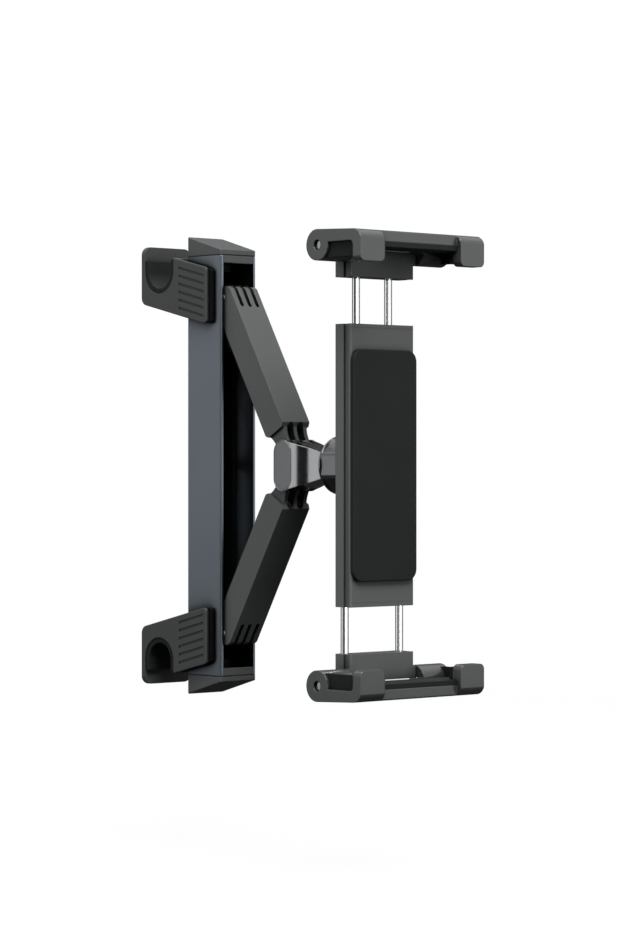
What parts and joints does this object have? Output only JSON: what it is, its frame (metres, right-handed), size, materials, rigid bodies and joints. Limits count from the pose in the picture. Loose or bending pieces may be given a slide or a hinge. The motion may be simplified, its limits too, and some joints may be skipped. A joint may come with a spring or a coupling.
{
  "type": "headrest tablet mount",
  "caption": "Tablet mount for car headrest posts: slotted rail with sprung post hooks, folding arms, ball joint and a sprung cradle with folding padded claws.",
  "frame": {"origin": "centre of the rail's rear face, the side towards the headrest posts", "axes": "+Z along the rail, as in the picture, where the rail stands upright; in use it lies across the seat. +X across the rail, +Y towards the headrest posts, -Y towards the tablet"},
  "size_m": [0.066, 0.1541, 0.1868],
  "materials": {
    "rail_anodised": "satin",
    "cap_plastic": "satin",
    "zinc_steel": "satin",
    "arm_painted": "satin",
    "hub_gloss": "gloss",
    "black_nylon": "matte",
    "hook_plastic": "matte",
    "rubber_black": "matte",
    "cradle_painted": "satin",
    "claw_painted": "satin",
    "chrome_rod": "polished"
  },
  "bodies": {
    "base": {"rail": "rail_anodised", "end_cap_upper": "cap_plastic", "end_cap_lower": "cap_plastic", "cap_screws": "zinc_steel", "spring_anchor": "black_nylon", "anchor_screws": "zinc_steel", "spring_rod": "zinc_steel", "rail_spring_upper": "zinc_steel", "rail_spring_lower": "zinc_steel"},
    "hub": {"hub_body": "hub_gloss", "hub_covers": "hub_gloss", "hub_pins": "zinc_steel", "ball_stud": "chrome_rod"},
    "ball_tilt": {"ball_liner_front": "black_nylon"},
    "ball_lean": {"ball_liner_rear": "black_nylon"},
    "cradle": {"ball_socket": "hub_gloss", "socket_screws": "zinc_steel", "cradle_body": "cradle_painted", "cradle_end_upper": "cradle_painted", "cradle_end_lower": "cradle_painted", "cradle_pad": "rubber_black", "jaw_spring_upper": "zinc_steel", "jaw_spring_lower": "zinc_steel"},
    "nut": {"ring_nut": "hub_gloss"},
    "hook_upper": {"hook_shell_upper": "hook_plastic", "hook_saddle_upper": "black_nylon", "hook_foot_upper": "black_nylon", "foot_screws_upper": "zinc_steel", "hook_liner_upper": "rubber_black"},
    "slider_upper": {"slider_upper": "black_nylon", "slider_pin_upper": "zinc_steel"},
    "arm_upper": {"arm_upper": "arm_painted"},
    "jaw_upper": {"jaw_rods_upper": "chrome_rod", "jaw_block_upper": "cradle_painted"},
    "claw_upper": {"claw_upper": "claw_painted", "claw_pin_upper": "chrome_rod", "claw_pad_upper": "rubber_black"},
    "hook_lower": {"hook_shell_lower": "hook_plastic", "hook_saddle_lower": "black_nylon", "hook_foot_lower": "black_nylon", "foot_screws_lower": "zinc_steel", "hook_liner_lower": "rubber_black"},
    "slider_lower": {"slider_lower": "black_nylon", "slider_pin_lower": "zinc_steel"},
    "arm_lower": {"arm_lower": "arm_painted"},
    "jaw_lower": {"jaw_rods_lower": "chrome_rod", "jaw_block_lower": "cradle_painted"},
    "claw_lower": {"claw_lower": "claw_painted", "claw_pin_lower": "chrome_rod", "claw_pad_lower": "rubber_black"}
  },
  "joints": [
    {"name": "hook_slide_upper", "type": "slide", "parent": "base", "child": "hook_upper", "axis": [0, 0, 1], "range_m": [-0.014, 0], "stiffness_N_per_m": 120, "springref_m": 0.008, "deforming": ["rail_spring_upper"]},
    {"name": "hook_slide_lower", "type": "slide", "parent": "base", "child": "hook_lower", "axis": [0, 0, -1], "range_m": [-0.014, 0], "stiffness_N_per_m": 120, "springref_m": 0.008, "deforming": ["rail_spring_lower"]},
    {"name": "upper_slider_run", "type": "slide", "parent": "base", "child": "slider_upper", "axis": [0, 0, 1], "range_m": [-0.0092, 0.0084]},
    {"name": "arm_fold", "type": "hinge", "parent": "slider_upper", "child": "arm_upper", "pos_m": [0, -0.0195, 0.06809], "axis": [1, 0, 0], "range_deg": [-20, 18]},
    {"name": "upper_hub_pivot", "type": "hinge", "parent": "arm_upper", "child": "hub", "pos_m": [0, -0.05622, 0.005], "axis": [1, 0, 0], "range_deg": [-18.5, 20.5]},
    {"name": "lower_hub_pivot", "type": "hinge", "parent": "hub", "child": "arm_lower", "pos_m": [0, -0.05622, -0.005], "axis": [1, 0, 0], "range_deg": [-18.5, 20.5]},
    {"name": "lower_slider_pivot", "type": "hinge", "parent": "arm_lower", "child": "slider_lower", "pos_m": [0, -0.0195, -0.06809], "axis": [1, 0, 0], "range_deg": [-20.5, 18.5]},
    {"name": "ball_tilt", "type": "hinge", "parent": "hub", "child": "ball_tilt", "pos_m": [0, -0.08562, 0], "axis": [1, 0, 0], "range_deg": [-10, 10]},
    {"name": "ball_lean", "type": "hinge", "parent": "ball_tilt", "child": "ball_lean", "pos_m": [0, -0.08562, 0], "axis": [0, 0, 1], "range_deg": [-10, 10]},
    {"name": "cradle_swivel", "type": "hinge", "parent": "ball_lean", "child": "cradle", "pos_m": [0, -0.08562, 0], "axis": [0, 1, 0], "range_deg": [-180, 180]},
    {"name": "ring_nut_turn", "type": "hinge", "parent": "cradle", "child": "nut", "pos_m": [0, -0.08562, 0], "axis": [0, 1, 0], "range_deg": [-90, 90]},
    {"name": "jaw_slide_upper", "type": "slide", "parent": "cradle", "child": "jaw_upper", "axis": [0, 0, 1], "range_m": [-0.0175, 0.019], "stiffness_N_per_m": 300, "deforming": ["jaw_spring_upper"]},
    {"name": "claw_fold_upper", "type": "hinge", "parent": "jaw_upper", "child": "claw_upper", "pos_m": [0, -0.10392, 0.0839], "axis": [-1, 0, 0], "range_deg": [0, 90]},
    {"name": "jaw_slide_lower", "type": "slide", "parent": "cradle", "child": "jaw_lower", "axis": [0, 0, -1], "range_m": [-0.0175, 0.019], "stiffness_N_per_m": 300, "deforming": ["jaw_spring_lower"]},
    {"name": "claw_fold_lower", "type": "hinge", "parent": "jaw_lower", "child": "claw_lower", "pos_m": [0, -0.10392, -0.0839], "axis": [1, 0, 0], "range_deg": [0, 90]}
  ],
  "couplings": [
    {"joint": "upper_slider_run", "follows": "arm_fold", "m_per_rad": 0.025783},
    {"joint": "upper_hub_pivot", "follows": "arm_fold", "ratio": -1},
    {"joint": "lower_hub_pivot", "follows": "arm_fold", "ratio": -1},
    {"joint": "lower_slider_pivot", "follows": "arm_fold", "ratio": 1}
  ]
}
